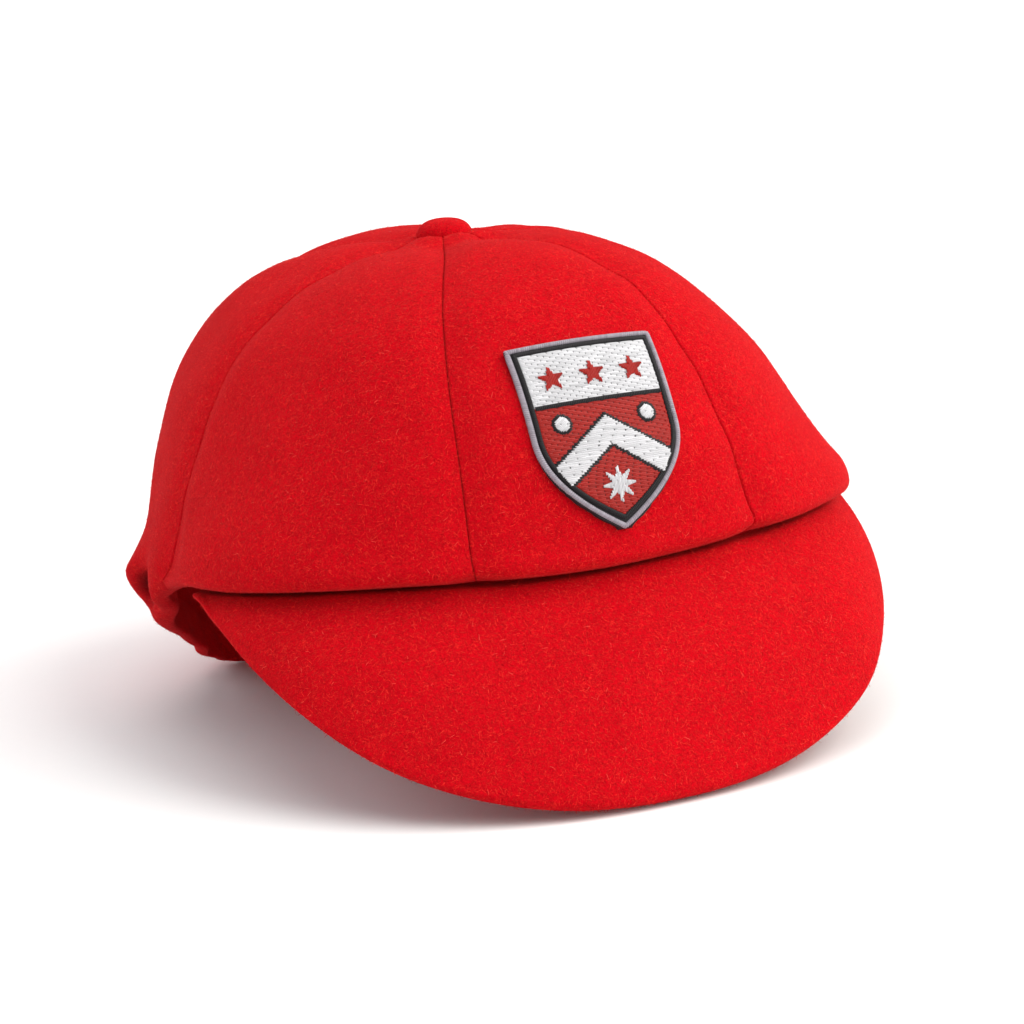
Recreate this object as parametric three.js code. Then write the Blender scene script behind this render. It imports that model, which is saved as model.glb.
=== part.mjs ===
// School cap of red brushed wool felt: a crown of six panels, a covered top button,
// a stiff felt-covered peak and an embroidered badge on the front panel.
// Millimetres. +Z is up and the peak points along -Y. The cap stands on z = 0 as it
// does on a table: on the edge of its peak and on the hem at the back of the crown.
// Angles run round the crown in degrees, from 0 at the middle of the front to 180 at
// the back. Positive angles are on the +X side, which is the wearer's left.

import * as THREE from 'three';

// Cloth thickness and clearances
const FELT = 2.0;
const HEM_FELT = 3.2;
const GAP = 0.3;

// Rings of the crown from the hem up to the button, each as its foremost point, its
// widest point and its rearmost point.
const RINGS = [
  { ring: 'hem',      frontY: -67.8, frontZ: 47.0,  halfWidth: 82.8, sideY: -1.8, sideZ: 40.3,  backY: 79.4, backZ: 0.0 },
  { ring: 'roll',     frontY: -70.4, frontZ: 51.5,  halfWidth: 83.9, sideY: -6.3, sideZ: 47.6,  backY: 91.8, backZ: 15.5 },
  { ring: 'low',      frontY: -69.6, frontZ: 61.0,  halfWidth: 81.2, sideY: -2.2, sideZ: 54.7,  backY: 97.8, backZ: 40.0 },
  { ring: 'middle',   frontY: -64.6, frontZ: 76.6,  halfWidth: 76.4, sideY: 3.9,  sideZ: 64.8,  backY: 97.6, backZ: 68.5 },
  { ring: 'shoulder', frontY: -53.7, frontZ: 93.9,  halfWidth: 68.2, sideY: 9.9,  sideZ: 79.4,  backY: 89.0, backZ: 92.4 },
  { ring: 'upper',    frontY: -36.9, frontZ: 107.9, halfWidth: 53.6, sideY: 15.2, sideZ: 96.2,  backY: 70.4, backZ: 104.7 },
  { ring: 'crest',    frontY: -13.9, frontZ: 113.6, halfWidth: 30.4, sideY: 18.2, sideZ: 108.1, backY: 46.0, backZ: 109.7 },
  { ring: 'seat',     frontY: 10.9,  frontZ: 111.2, halfWidth: 8.5,  sideY: 19.4, sideZ: 110.9, backY: 27.9, backZ: 110.8 },
  { ring: 'eyelet',   frontY: 17.6,  frontZ: 110.9, halfWidth: 1.8,  sideY: 19.4, sideZ: 110.9, backY: 21.2, backZ: 110.9 },
];
const LAST_RING = RINGS.length - 1;
const SQUARENESS = 2.2;

// Height of the hem above the table. It follows the top of the peak in front, drops
// behind the ends of the peak and lies flat at the back.
const HEM = [
  { angle: 0,   height: 47.0 },
  { angle: 40,  height: 47.8 },
  { angle: 76,  height: 44.0 },
  { angle: 86,  height: 42.3 },
  { angle: 98,  height: 37.5 },
  { angle: 106, height: 30.0 },
  { angle: 114, height: 23.0 },
  { angle: 125, height: 15.0 },
  { angle: 136, height: 5.5 },
  { angle: 147, height: 0.0 },
  { angle: 180, height: 0.0 },
];
const HEM_FADE = 2.2;

// Folds of the soft crown: which side they are on, how far they stand out, where they
// are centred and how far they spread, round and up the crown. Heights are above the
// hem. The back ones are puckers where the elastic in the hem draws the felt in.
const FOLDS = [
  { side: 'left', angle: 70,  spread: 18.0, above: 44.0, rise: 26.0, out: -1.0 },
  { side: 'both', angle: 101, spread: 5.0,  above: 2.0,  rise: 10.0, out: 2.6 },
  { side: 'both', angle: 107, spread: 2.8,  above: 7.0,  rise: 6.0,  out: -3.2 },
  { side: 'both', angle: 113, spread: 7.5,  above: 12.5, rise: 7.0,  out: 5.2 },
  { side: 'both', angle: 128, spread: 5.0,  above: 6.0,  rise: 12.0, out: -1.6 },
  { side: 'both', angle: 141, spread: 5.0,  above: 8.0,  rise: 12.0, out: 1.4 },
  { side: 'both', angle: 155, spread: 5.0,  above: 5.0,  rise: 12.0, out: -1.4 },
  { side: 'both', angle: 168, spread: 5.0,  above: 8.0,  rise: 12.0, out: 1.2 },
];

// Seams between the panels, as angles at the hem, half way up and at the button
const SEAMS = {
  rightBack:  { hem: -152, middle: -152, top: -152 },
  rightSide:  { hem: -97,  middle: -90,  top: -92 },
  rightFront: { hem: -22,  middle: -25,  top: -26 },
  leftFront:  { hem: 26,   middle: 26,   top: 26 },
  leftSide:   { hem: 97,   middle: 90,   top: 92 },
  leftBack:   { hem: 152,  middle: 152,  top: 152 },
};
const SEAM_DIP = 0.9;
const SEAM_REACH = 4.0;
const PANEL_SAG = 0.7;

const PANELS = [
  { name: 'panel_front',       from: SEAMS.rightFront, to: SEAMS.leftFront,  columns: 12 },
  { name: 'panel_left_front',  from: SEAMS.leftFront,  to: SEAMS.leftSide,   columns: 12 },
  { name: 'panel_left_rear',   from: SEAMS.leftSide,   to: SEAMS.leftBack,   columns: 18 },
  { name: 'panel_back',        from: SEAMS.leftBack,   to: SEAMS.rightBack,  columns: 14, turn: 360 },
  { name: 'panel_right_rear',  from: SEAMS.rightBack,  to: SEAMS.rightSide,  columns: 18 },
  { name: 'panel_right_front', from: SEAMS.rightSide,  to: SEAMS.rightFront, columns: 12 },
];
const PANEL_ROWS = 20;

// Peak: a stiff plate whose root is sewn inside the hem
const PEAK_THICK = 3.2;
const PEAK_ROOT_ANGLE = 82;
const PEAK_ROOT_RING = 0.7;
const PEAK_ROOT_LEAN = 0.6;
const PEAK_NECK_DROP = 0.6;
const PEAK_HALF_WIDTH = 82.7;
const PEAK_CORNER_Y = -13.8;
const PEAK_CORNER_Z = 42.2;
const PEAK_REACH = 84.8;
const PEAK_SIDE_Z = 44.7;
const PEAK_FRONT_Z = 1.8;
const PEAK_SIDE_POWER = 0.88;
const PEAK_FRONT_POWER = 0.86;
const PEAK_BULGE = 2.4;
const PEAK_COLUMNS = 40;
const PEAK_ROWS = 7;

// Covered button
const BUTTON_RADIUS = 6.8;
const BUTTON_HEIGHT = 4.6;
const BUTTON_SHANK_RADIUS = 1.3;
const BUTTON_SHANK_LENGTH = 2.6;
const BUTTON_SIDES = 20;

// Badge: a heater shield on the middle of the front panel
const BADGE_ANGLE = 1.5;
const BADGE_HALF_WIDTH = 17.8;
const BADGE_HEIGHT = 45.0;
const BADGE_SHOULDER = 0.5;
const BADGE_FOOT_Z = 56.5;
const BADGE_THICK = 1.1;
const BADGE_EDGE_RISE = 0.6;
const BADGE_EDGE_WIDTH = 2.2;
const BADGE_TIP_HALF_WIDTH = 0.5;
const BADGE_ROWS = 16;
const BADGE_COLUMNS = 12;

const radians = THREE.MathUtils.degToRad;
const lerp = THREE.MathUtils.lerp;

function fade(x) {
  return 1 - THREE.MathUtils.smoothstep(x, 0, 1);
}

function power(base, exponent) {
  return Math.sign(base) * Math.abs(base) ** exponent;
}

// A smooth curve through the rows of a table, read at `at` along column `key`.
// The rows stand at the values of `along`, or at 0, 1, 2 and so on without it.
function smooth(rows, key, at, along = null) {
  const place = (i) => (along ? rows[i][along] : i);
  const last = rows.length - 1;
  let i = 0;
  while (i < last - 1 && at > place(i + 1)) {
    i += 1;
  }
  const slope = (k) => {
    const lo = Math.max(k - 1, 0);
    const hi = Math.min(k + 1, last);
    return (rows[hi][key] - rows[lo][key]) / (place(hi) - place(lo));
  };
  const step = place(i + 1) - place(i);
  const t = (at - place(i)) / step;
  const start = rows[i][key];
  const end = rows[i + 1][key];
  const rise = 3 * t * t - 2 * t * t * t;
  return start + (end - start) * rise
    + slope(i) * step * t * (1 - t) * (1 - t) - slope(i + 1) * step * t * t * (1 - t);
}

function hemHeight(angle) {
  return Math.max(smooth(HEM, 'height', Math.abs(angle), 'angle'), 0);
}

function ringPoint(angle, ring) {
  const at = (key) => smooth(RINGS, key, ring);
  const turn = radians(angle);
  const cos = Math.cos(turn);
  const sin = Math.sin(turn);
  const size = (Math.abs(cos) ** SQUARENESS + Math.abs(sin) ** SQUARENESS) ** (-1 / SQUARENESS);
  const end = cos > 0 ? at('frontY') : at('backY');
  const y = at('sideY') + (end - at('sideY')) * Math.abs(cos) * size;
  const tilt = (at('frontZ') - at('backZ')) / 2;
  const dish = (at('frontZ') + at('backZ')) / 2 - at('sideZ');
  const z = at('sideZ') + tilt * cos + dish * cos * cos;
  return new THREE.Vector3(at('halfWidth') * sin * size, y, z);
}

// The crown without seams and puckers, with its lowest ring at the hem's height
function crownBase(angle, ring) {
  const point = ringPoint(angle, ring);
  point.z += (hemHeight(angle) - ringPoint(angle, 0).z) * fade(ring / HEM_FADE);
  return point;
}

// Outward normal of a surface given as a function of two numbers
function normalOf(surface, a, b, stepA, stepB) {
  const alongA = surface(a + stepA, b).sub(surface(a - stepA, b));
  const alongB = surface(a, b + stepB).sub(surface(a, b - stepB));
  return alongA.cross(alongB).normalize();
}

function crownNormal(angle, ring) {
  const inside = THREE.MathUtils.clamp(ring, 0.02, LAST_RING - 0.02);
  const normal = normalOf(crownBase, angle, inside, 0.5, 0.02);
  normal.z *= 1 - fade(ring / 0.6);
  return normal.normalize();
}

function foldsOut(angle, ring) {
  const above = crownBase(angle, ring).z - hemHeight(angle);
  let out = 0;
  for (const fold of FOLDS) {
    const turned = fold.side === 'both' ? Math.abs(angle) : angle;
    const round = (turned - fold.angle) / fold.spread;
    const up = (above - fold.above) / fold.rise;
    out += fold.out * Math.exp(-round * round - up * up);
  }
  return out;
}

// A point of the crown, `depth` below its outer face and `swell` outside its base
function crownPoint(angle, ring, depth = 0, swell = 0) {
  const turn = ((angle + 180) % 360 + 360) % 360 - 180;
  const out = swell + foldsOut(turn, ring) - depth;
  return crownBase(turn, ring).addScaledVector(crownNormal(turn, ring), out);
}

function wall(ring) {
  return FELT + (HEM_FELT - FELT) * fade(ring);
}

function seamAngle(seam, ring) {
  const w = ring / LAST_RING;
  return seam.hem * (1 - w) * (1 - 2 * w) + seam.middle * 4 * w * (1 - w) + seam.top * w * (2 * w - 1);
}

// A closed solid between two sheets of columns x rows points. Both are functions of
// (column, row); the outer sheet's columns run left to right as seen from outside.
function slab(outer, inner, columns, rows) {
  const points = [];
  const faces = [];
  const index = (sheet, i, j) => sheet * (columns + 1) * (rows + 1) + i * (rows + 1) + j;
  for (const sheet of [outer, inner]) {
    for (let i = 0; i <= columns; i += 1) {
      for (let j = 0; j <= rows; j += 1) {
        points.push(...sheet(i, j).toArray());
      }
    }
  }
  const quad = (a, b, c, d) => faces.push(a, b, c, a, c, d);
  for (let i = 0; i < columns; i += 1) {
    for (let j = 0; j < rows; j += 1) {
      quad(index(0, i, j), index(0, i + 1, j), index(0, i + 1, j + 1), index(0, i, j + 1));
      quad(index(1, i, j + 1), index(1, i + 1, j + 1), index(1, i + 1, j), index(1, i, j));
    }
    quad(index(1, i, 0), index(1, i + 1, 0), index(0, i + 1, 0), index(0, i, 0));
    quad(index(0, i, rows), index(0, i + 1, rows), index(1, i + 1, rows), index(1, i, rows));
  }
  for (let j = 0; j < rows; j += 1) {
    quad(index(0, 0, j), index(0, 0, j + 1), index(1, 0, j + 1), index(1, 0, j));
    quad(index(1, columns, j), index(1, columns, j + 1), index(0, columns, j + 1), index(0, columns, j));
  }
  const geometry = new THREE.BufferGeometry();
  geometry.setAttribute('position', new THREE.Float32BufferAttribute(points, 3));
  geometry.setIndex(faces);
  geometry.computeVertexNormals();
  return geometry;
}

// Columns stand closer together near the seams
function panelGeometry({ from, to, columns, turn = 0 }) {
  const place = (i, j) => {
    const ring = LAST_RING * j / PANEL_ROWS;
    const across = (1 - Math.cos(Math.PI * i / columns)) / 2;
    const start = seamAngle(from, ring);
    const end = seamAngle(to, ring) + turn;
    const centre = (start + end) / 2;
    const span = ringPoint(centre + 0.5, ring).distanceTo(ringPoint(centre - 0.5, ring));
    const trim = GAP / 2 / span;
    const angle = lerp(start + trim, end - trim, across);
    const toSeam = Math.min(across, 1 - across) * (end - start) * span;
    const dip = SEAM_DIP * Math.exp(-((toSeam / SEAM_REACH) ** 2));
    const level = 1 - fade((LAST_RING - ring) / 2);
    const sag = PANEL_SAG * (1 - Math.sin(Math.PI * across));
    return { angle, ring, swell: -(sag + dip) * level };
  };
  const outer = (i, j) => {
    const { angle, ring, swell } = place(i, j);
    return crownPoint(angle, ring, 0, swell);
  };
  const inner = (i, j) => {
    const { angle, ring, swell } = place(i, j);
    return crownPoint(angle, ring, wall(ring), swell);
  };
  return slab(outer, inner, columns, PANEL_ROWS);
}

// Peak. `side` runs from -1 at the wearer's right corner to 1 at the left one, and
// `along` from -1 at the root through 0 at the neck to 1 at the outer edge.
function peakEdge(side) {
  const sin = Math.sin(side * Math.PI / 2);
  const cos = Math.max(Math.cos(side * Math.PI / 2), 0);
  const x = PEAK_HALF_WIDTH * power(sin, PEAK_SIDE_POWER);
  const y = PEAK_CORNER_Y - PEAK_REACH * power(cos, PEAK_FRONT_POWER);
  const z = Math.min(lerp(PEAK_SIDE_Z, PEAK_FRONT_Z, cos), PEAK_CORNER_Z);
  return new THREE.Vector3(x, y, z);
}

function peakRoot(side, ring) {
  const angle = side * PEAK_ROOT_ANGLE;
  const lean = PEAK_ROOT_LEAN * ring / PEAK_ROOT_RING;
  return crownPoint(angle, ring, wall(ring) + GAP + SEAM_DIP + PANEL_SAG + lean);
}

function peakTop(side, along) {
  const neck = peakRoot(side, 0);
  neck.z -= PEAK_NECK_DROP;
  if (along < 0) {
    return neck.lerp(peakRoot(side, PEAK_ROOT_RING), -along);
  }
  const edge = peakEdge(side);
  const run = edge.clone().sub(neck);
  const round = peakEdge(side + 0.01).sub(peakEdge(side - 0.01));
  const out = round.cross(run).normalize().negate();
  const bulge = PEAK_BULGE * 4 * along * (1 - along) * Math.min(run.length() / 30, 1);
  return neck.lerp(edge, along).addScaledVector(out, bulge);
}

function peakGeometry() {
  const rootRows = 2;
  const rows = PEAK_ROWS + rootRows;
  const place = (i, j) => ({
    side: -Math.cos(Math.PI * i / PEAK_COLUMNS) * 0.35 + (2 * i / PEAK_COLUMNS - 1) * 0.65,
    along: j < rootRows ? j / rootRows - 1 : (j - rootRows) / PEAK_ROWS,
  });
  const top = (i, j) => {
    const { side, along } = place(i, j);
    return peakTop(side, along);
  };
  const under = (i, j) => {
    const { side, along } = place(i, j);
    const inSide = THREE.MathUtils.clamp(side, -0.98, 0.98);
    const normal = normalOf(peakTop, inSide, THREE.MathUtils.clamp(along, -0.95, 0.95), 0.01, 0.04);
    return peakTop(side, along).addScaledVector(normal, PEAK_THICK);
  };
  return slab(under, top, PEAK_COLUMNS, rows);
}

// Button: a low dome on a shank that passes through the eyelet
function buttonGeometry() {
  const steps = 7;
  const profile = [new THREE.Vector2(0, -BUTTON_SHANK_LENGTH)];
  profile.push(new THREE.Vector2(BUTTON_SHANK_RADIUS, -BUTTON_SHANK_LENGTH));
  profile.push(new THREE.Vector2(BUTTON_SHANK_RADIUS, 0));
  profile.push(new THREE.Vector2(BUTTON_RADIUS * 0.9, 0));
  for (let i = 0; i < steps; i += 1) {
    const turn = Math.PI / 2 * i / steps;
    const height = BUTTON_HEIGHT * (0.2 + 0.8 * Math.sin(turn));
    profile.push(new THREE.Vector2(BUTTON_RADIUS * Math.cos(turn) ** 0.7, height));
  }
  profile.push(new THREE.Vector2(0, BUTTON_HEIGHT));
  const geometry = new THREE.LatheGeometry(profile, BUTTON_SIDES);
  geometry.rotateX(Math.PI / 2);
  return geometry;
}

// Badge. Half width of the shield at a height given from 0 at its foot to 1 at its top
function shieldHalfWidth(height) {
  if (height > BADGE_SHOULDER) {
    return BADGE_HALF_WIDTH;
  }
  const drop = 1 - height / BADGE_SHOULDER;
  return Math.max(BADGE_HALF_WIDTH * (1 - drop ** 2.1), BADGE_TIP_HALF_WIDTH);
}

// Ring of the crown's middle line that lies `length` above the foot of the badge
function ringAbove(length) {
  let ring = 1;
  while (crownBase(0, ring).z < BADGE_FOOT_Z) {
    ring += 0.01;
  }
  const foot = crownBase(0, ring);
  let travelled = 0;
  while (travelled < length) {
    ring += 0.01;
    const next = crownBase(0, ring);
    travelled += next.distanceTo(foot);
    foot.copy(next);
  }
  return ring;
}

function badgeGeometry() {
  const rings = [];
  for (let j = 0; j <= BADGE_ROWS; j += 1) {
    rings.push(ringAbove(BADGE_HEIGHT * j / BADGE_ROWS));
  }
  const place = (i, j) => {
    const height = j / BADGE_ROWS;
    const half = shieldHalfWidth(height);
    const across = half * (-Math.cos(Math.PI * i / BADGE_COLUMNS));
    const ring = rings[j];
    const span = crownBase(0.5, ring).distanceTo(crownBase(-0.5, ring));
    const toSide = half - Math.abs(across);
    const toEnd = BADGE_HEIGHT * Math.min(height, 1 - height);
    const rim = fade(Math.min(toSide, toEnd) / BADGE_EDGE_WIDTH);
    return { angle: BADGE_ANGLE + across / span, ring, rim };
  };
  const lift = GAP;
  const outer = (i, j) => {
    const { angle, ring, rim } = place(i, j);
    return crownPoint(angle, ring, 0, lift + BADGE_THICK + BADGE_EDGE_RISE * rim);
  };
  const inner = (i, j) => {
    const { angle, ring } = place(i, j);
    return crownPoint(angle, ring, 0, lift);
  };
  return slab(outer, inner, BADGE_COLUMNS, BADGE_ROWS);
}

// Materials
function felt(colour) {
  return new THREE.MeshStandardMaterial({ color: colour, roughness: 0.95, metalness: 0 });
}

const RED_FELT = 0xcc0a14;
const BADGE_RED = 0x8a1410;

const cap = new THREE.Group();
cap.name = 'school_cap';

for (const panel of PANELS) {
  const mesh = new THREE.Mesh(panelGeometry(panel), felt(RED_FELT));
  mesh.name = panel.name;
  cap.add(mesh);
}

const peak = new THREE.Mesh(peakGeometry(), felt(RED_FELT));
peak.name = 'peak';
cap.add(peak);

const seat = RINGS[LAST_RING];
const button = new THREE.Mesh(buttonGeometry(), felt(RED_FELT));
button.name = 'top_button';
button.position.set(0, seat.sideY, seat.sideZ + GAP);
cap.add(button);

const badge = new THREE.Mesh(badgeGeometry(), felt(BADGE_RED));
badge.name = 'badge';
cap.add(badge);

export default cap;
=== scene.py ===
"""School cap of brushed red wool felt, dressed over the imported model.

Every piece is worked out in millimetres from the same crown rings, hem and folds as the
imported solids, and is turned into metres when its mesh is made.
"""
import math

import bpy
import numpy as np
from bpy.props import FloatProperty, FloatVectorProperty, PointerProperty
from mathutils import Matrix, Vector


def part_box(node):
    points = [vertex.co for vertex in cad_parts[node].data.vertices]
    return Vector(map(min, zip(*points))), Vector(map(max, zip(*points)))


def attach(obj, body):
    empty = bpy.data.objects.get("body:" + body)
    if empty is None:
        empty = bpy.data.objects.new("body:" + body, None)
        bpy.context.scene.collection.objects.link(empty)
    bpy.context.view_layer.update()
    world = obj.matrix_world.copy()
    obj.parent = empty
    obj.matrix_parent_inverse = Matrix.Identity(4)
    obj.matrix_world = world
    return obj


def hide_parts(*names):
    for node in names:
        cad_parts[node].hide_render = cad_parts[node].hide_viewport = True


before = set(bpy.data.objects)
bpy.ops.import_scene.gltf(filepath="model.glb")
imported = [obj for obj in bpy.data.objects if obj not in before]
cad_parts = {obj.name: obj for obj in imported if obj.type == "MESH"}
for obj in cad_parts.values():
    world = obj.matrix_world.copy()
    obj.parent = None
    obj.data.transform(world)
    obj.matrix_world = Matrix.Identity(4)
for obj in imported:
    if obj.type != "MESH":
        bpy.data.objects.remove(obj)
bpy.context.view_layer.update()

bl_info = {
    "name": "School cap",
    "version": (1, 0, 0),
    "blender": (4, 5, 0),
    "location": "3D View > Sidebar > School cap",
    "description": "Builds a six-panel felt school cap with a peak, button and badge",
    "category": "Add Mesh",
}

MM = 0.001


def table(columns, *rows):
    """Rows of a table, each a dictionary with the columns' names."""
    names = columns.split()
    return [dict(zip(names, row)) for row in rows]


def by_name(rows):
    return {row["name"]: row for row in rows}


# Crown rings from the hem up, each as its foremost, widest and rearmost point
RINGS = table(
    "ring front_y front_z half_width side_y side_z back_y back_z",
    ("hem", -67.8, 47.0, 82.8, -1.8, 40.3, 79.4, 0.0),
    ("roll", -70.4, 51.5, 83.9, -6.3, 47.6, 91.8, 15.5),
    ("low", -69.6, 61.0, 81.2, -2.2, 54.7, 97.8, 40.0),
    ("middle", -64.6, 76.6, 76.4, 3.9, 64.8, 97.6, 68.5),
    ("shoulder", -53.7, 93.9, 68.2, 9.9, 79.4, 89.0, 92.4),
    ("upper", -36.9, 107.9, 53.6, 15.2, 96.2, 70.4, 104.7),
    ("crest", -13.9, 113.6, 30.4, 18.2, 108.1, 46.0, 109.7),
    ("seat", 10.9, 111.2, 8.5, 19.4, 110.9, 27.9, 110.8),
    ("eyelet", 17.6, 110.9, 1.8, 19.4, 110.9, 21.2, 110.9),
)
LAST_RING = len(RINGS) - 1
TOP_LEAN = -1.1
SQUARENESS = 2.2

# Height of the hem above the table
HEM = table(
    "angle height",
    (0, 47.0),
    (40, 47.8),
    (76, 44.0),
    (86, 42.3),
    (98, 37.5),
    (106, 30.0),
    (114, 23.0),
    (125, 15.0),
    (136, 5.5),
    (147, 0.0),
    (180, 0.0),
)
HEM_FADE = 2.2

# Folds of the soft crown: side, centre, spread, height above the hem, rise, and how far out
FOLDS = table(
    "side angle spread above rise out",
    ("left", 70, 18.0, 44.0, 26.0, -1.0),
    ("both", 101, 5.0, 2.0, 10.0, 2.6),
    ("both", 107, 2.8, 7.0, 6.0, -3.2),
    ("both", 113, 7.5, 12.5, 7.0, 5.2),
    ("both", 128, 5.0, 6.0, 12.0, -1.6),
    ("both", 141, 5.0, 8.0, 12.0, 1.4),
    ("both", 155, 5.0, 5.0, 12.0, -1.4),
    ("both", 168, 5.0, 8.0, 12.0, 1.2),
)

# Small creases and rolls beside the last fold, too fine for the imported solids
CREASES = table(
    "side angle spread above rise out",
    ("both", 109.2, 1.9, 9.8, 1.3, -8.0),
    ("both", 111.4, 1.6, 8.4, 1.4, -5.0),
    ("both", 109.5, 3.8, 12.8, 2.0, 1.0),
    ("both", 106.4, 2.6, 14.0, 2.2, 0.9),
    ("both", 112.5, 2.2, 5.6, 2.0, -1.9),
    ("both", 115.0, 4.5, 2.5, 3.6, 0.9),
    ("both", 106.2, 2.4, 4.5, 4.2, 1.1),
)

# How this cap's felt has settled: broad soft swells of a millimetre or so
SETTLED = table(
    "side angle spread above rise out",
    ("left", 92, 34.0, 68.0, 13.0, 1.5),
    ("left", 62, 14.0, 60.0, 7.0, 0.9),
    ("left", 128, 14.0, 92.0, 9.0, 0.2),
    ("left", 143, 14.0, 104.0, 6.0, -1.6),
    ("left", 71, 14.0, 36.0, 8.0, 0.6),
    ("left", 73, 10.0, 16.0, 6.0, -0.8),
    ("left", 55, 9.0, 48.0, 6.0, -0.3),
    ("right", 134, 20.0, 80.0, 14.0, 0.6),
    ("both", 180, 16.0, 106.0, 6.0, 0.6),
)

# Seams, as angles at the hem, half way up and at the button
SEAMS = by_name(table(
    "name hem middle top",
    ("right_back", -152, -152, -152),
    ("right_side", -97, -90, -92),
    ("right_front", -22, -25, -26),
    ("left_front", 26, 26, 26),
    ("left_side", 97, 90, 92),
    ("left_back", 152, 152, 152),
))
PANELS = table(
    "node start end turn",
    ("panel_front", "right_front", "left_front", 0),
    ("panel_left_front", "left_front", "left_side", 0),
    ("panel_left_rear", "left_side", "left_back", 0),
    ("panel_back", "left_back", "right_back", 360),
    ("panel_right_rear", "right_back", "right_side", 0),
    ("panel_right_front", "right_side", "right_front", 0),
)

# Soft swells of the felt: wavelength and height of each
SWELLS = table(
    "wave height",
    (62.0, 0.30),
    (41.0, 0.22),
    (27.0, 0.13),
    (17.0, 0.06),
)


# Sums on tables and surfaces

RING_STEP = 0.02


def smooth_step(low, high, value):
    t = np.clip((value - low) / (high - low), 0, 1)
    return t * t * (3 - 2 * t)


def fade(value):
    return 1 - smooth_step(0, 1, value)


def bump(value, centre, spread):
    """1 at the centre and falling off smoothly on both sides of it."""
    return np.exp(-((value - centre) / spread) ** 2)


def wrapped(angle):
    """The same angle, from -180 to 180."""
    return (angle + 180) % 360 - 180


def smooth(rows, key, at, along=None):
    """A smooth curve through column `key` of a table, read at `at`."""
    values = np.array([row[key] for row in rows], float)
    places = np.array([row[along] if along else i for i, row in enumerate(rows)], float)
    slopes = np.gradient(values, places, edge_order=1)
    slopes[1:-1] = (values[2:] - values[:-2]) / (places[2:] - places[:-2])
    i = np.clip(np.searchsorted(places, at) - 1, 0, len(rows) - 2)
    step = places[i + 1] - places[i]
    t = (at - places[i]) / step
    rise = 3 * t ** 2 - 2 * t ** 3
    leave = slopes[i] * step * t * (1 - t) ** 2
    arrive = slopes[i + 1] * step * t ** 2 * (1 - t)
    return values[i] + (values[i + 1] - values[i]) * rise + leave - arrive


def hem_height(angle):
    return np.maximum(smooth(HEM, "height", np.abs(angle), "angle"), 0)


def ring_point(angle, ring):
    at = {key: smooth(RINGS, key, ring) for key in RINGS[0] if key != "ring"}
    cos, sin = np.cos(np.radians(angle)), np.sin(np.radians(angle))
    size = (np.abs(cos) ** SQUARENESS + np.abs(sin) ** SQUARENESS) ** (-1 / SQUARENESS)
    end = np.where(cos > 0, at["front_y"], at["back_y"])
    y = at["side_y"] + (end - at["side_y"]) * np.abs(cos) * size
    tilt = (at["front_z"] - at["back_z"]) / 2
    dish = (at["front_z"] + at["back_z"]) / 2 - at["side_z"]
    z = at["side_z"] + tilt * cos + dish * cos ** 2
    return np.stack([at["half_width"] * sin * size, y, z], -1)


def crown_base(angle, ring):
    point = ring_point(angle, ring)
    drop = hem_height(angle) - ring_point(angle, np.zeros_like(ring))[..., 2]
    point[..., 2] += drop * fade(ring / HEM_FADE)
    return point


def unit(vectors):
    return vectors / np.maximum(np.linalg.norm(vectors, axis=-1, keepdims=True), 1e-9)


def crown_normal(angle, ring):
    inside = np.clip(ring, RING_STEP, LAST_RING - RING_STEP)
    round_way = crown_base(angle + 0.5, inside) - crown_base(angle - 0.5, inside)
    up_way = crown_base(angle, inside + RING_STEP) - crown_base(angle, inside - RING_STEP)
    normal = unit(np.cross(round_way, up_way))
    normal[..., 2] *= 1 - fade(ring / 0.6)
    return unit(normal)


def folds_out(angle, ring, folds):
    above = crown_base(angle, ring)[..., 2] - hem_height(angle)
    out = np.zeros_like(above)
    for fold in folds:
        turned = {"left": angle, "right": -angle, "both": np.abs(angle)}[fold["side"]]
        across = (turned - fold["angle"]) / fold["spread"]
        up = (above - fold["above"]) / fold["rise"]
        out += fold["out"] * np.exp(-across ** 2 - up ** 2)
    return out


def crown_point(angle, ring, out=0.0):
    """Points of the crown's outer face, `out` outside its smooth base."""
    turn = wrapped(np.asarray(angle, float))
    ring = np.asarray(ring, float) + np.zeros_like(turn)
    out = np.asarray(out + folds_out(turn, ring, FOLDS))[..., None]
    point = crown_base(turn, ring) + crown_normal(turn, ring) * out
    point[..., 0] += TOP_LEAN * fade((LAST_RING - ring) / 3)
    return point


def seam_angle(seam, ring):
    row = SEAMS[seam]
    w = ring / LAST_RING
    low = row["hem"] * (1 - w) * (1 - 2 * w)
    return low + row["middle"] * 4 * w * (1 - w) + row["top"] * w * (2 * w - 1)


def waves(points, seed):
    """Soft uneven swells: a few sine waves for each row, each in a direction of its own."""
    rng = np.random.default_rng(seed)
    total = np.zeros(points.shape[:-1])
    for row in SWELLS:
        for _ in range(4):
            way = unit(rng.normal(size=3)) * 2 * math.pi / (row["wave"] * rng.uniform(0.8, 1.25))
            total += row["height"] * np.sin(points @ way + rng.uniform(0, 2 * math.pi)) / 2
    return total


def rounded(distance, radius):
    """How far a rounded edge has dropped at a distance from it."""
    left = np.clip(radius - distance, 0, radius)
    return radius - np.sqrt(radius ** 2 - left ** 2)


def both_edges(first, second):
    """The drop where two rounded edges run into each other."""
    return (first ** 3 + second ** 3) ** (1 / 3)


def path_lengths(points, axis):
    steps = np.linalg.norm(np.diff(points, axis=axis), axis=-1)
    total = np.cumsum(steps, axis=axis)
    return np.concatenate([np.zeros_like(np.take(total, [0], axis=axis)), total], axis=axis)


# Meshes

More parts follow.
